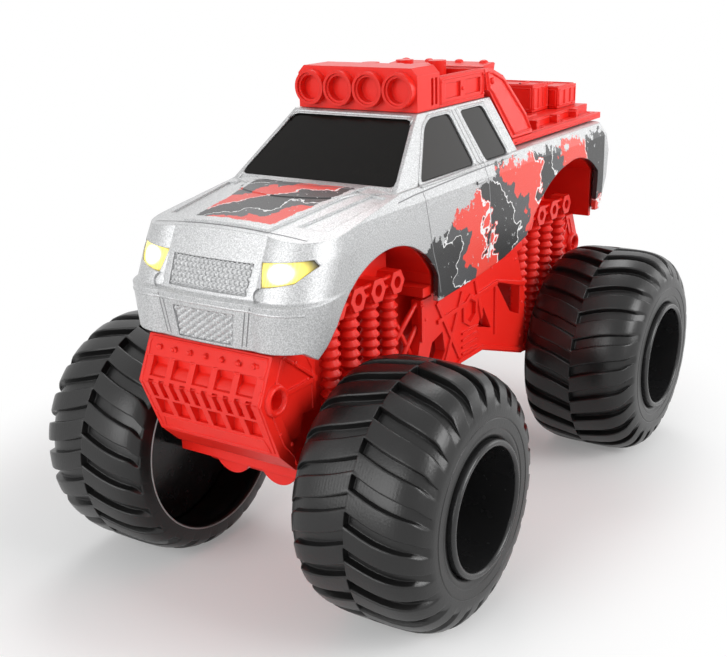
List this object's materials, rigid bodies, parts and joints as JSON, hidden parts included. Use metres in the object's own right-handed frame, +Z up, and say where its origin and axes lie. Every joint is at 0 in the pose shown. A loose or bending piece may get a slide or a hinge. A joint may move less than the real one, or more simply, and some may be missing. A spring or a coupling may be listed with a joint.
{
  "type": "toy monster truck",
  "caption": "Toy pickup on oversized lugged wheels, with a silver body, red chassis, roof light bar and bed cover; each pair of wheels rolls freely on its axle.",
  "frame": {"origin": "on the ground, midway between the two axles and the two sides", "axes": "+Z up, -Y towards the front of the truck, +X towards its left side"},
  "size_m": [0.096, 0.15, 0.1021],
  "materials": {
    "silver_shell": "silver metallic flake paint on moulded plastic, with a torn red, grey and black splash on the hood and sides",
    "red_plastic": "bare moulded red plastic, satin",
    "dark_glazing": "near-black, glossy",
    "lamp_lens": "clear lens, lit warm white",
    "rim": "satin black",
    "tyre": "black, satin, moulded lugs",
    "steel": "bright steel",
    "black_plastic": "satin black",
    "cells": "plain block that stands for the cells and the sound unit"
  },
  "bodies": {
    "truck": {"axle_housing_front": "red_plastic", "axle_housing_rear": "red_plastic", "battery_door": "black_plastic", "battery_pack": "cells", "bed_cover": "red_plastic", "bed_crate_front": "red_plastic", "bed_crate_rear": "red_plastic", "body_shell": "silver_shell", "chassis": "red_plastic", "front_guard": "red_plastic", "headlamp_left": "lamp_lens", "headlamp_right": "lamp_lens", "power_switch": "black_plastic", "rear_guard": "red_plastic", "roof_light_bar": "red_plastic", "roof_rack": "red_plastic", "screw_battery_door": "steel", "shocks_front_left": "red_plastic", "shocks_front_right": "red_plastic", "shocks_rear_left": "red_plastic", "shocks_rear_right": "red_plastic", "side_frame_left": "red_plastic", "side_frame_right": "red_plastic", "strut_crossbar": "red_plastic", "strut_left": "red_plastic", "strut_right": "red_plastic", "window_insert": "dark_glazing"},
    "front_wheelset": {"front_axle": "steel", "rim_front_left": "rim", "rim_front_right": "rim", "tyre_front_left": "tyre", "tyre_front_right": "tyre"},
    "rear_wheelset": {"rear_axle": "steel", "rim_rear_left": "rim", "rim_rear_right": "rim", "tyre_rear_left": "tyre", "tyre_rear_right": "tyre"}
  },
  "joints": [
    {"name": "front_wheels_roll", "type": "hinge", "parent": "truck", "child": "front_wheelset", "pos_m": [0, -0.049, 0.026], "axis": [1, 0, 0], "continuous": true},
    {"name": "rear_wheels_roll", "type": "hinge", "parent": "truck", "child": "rear_wheelset", "pos_m": [0, 0.049, 0.026], "axis": [1, 0, 0], "continuous": true}
  ]
}
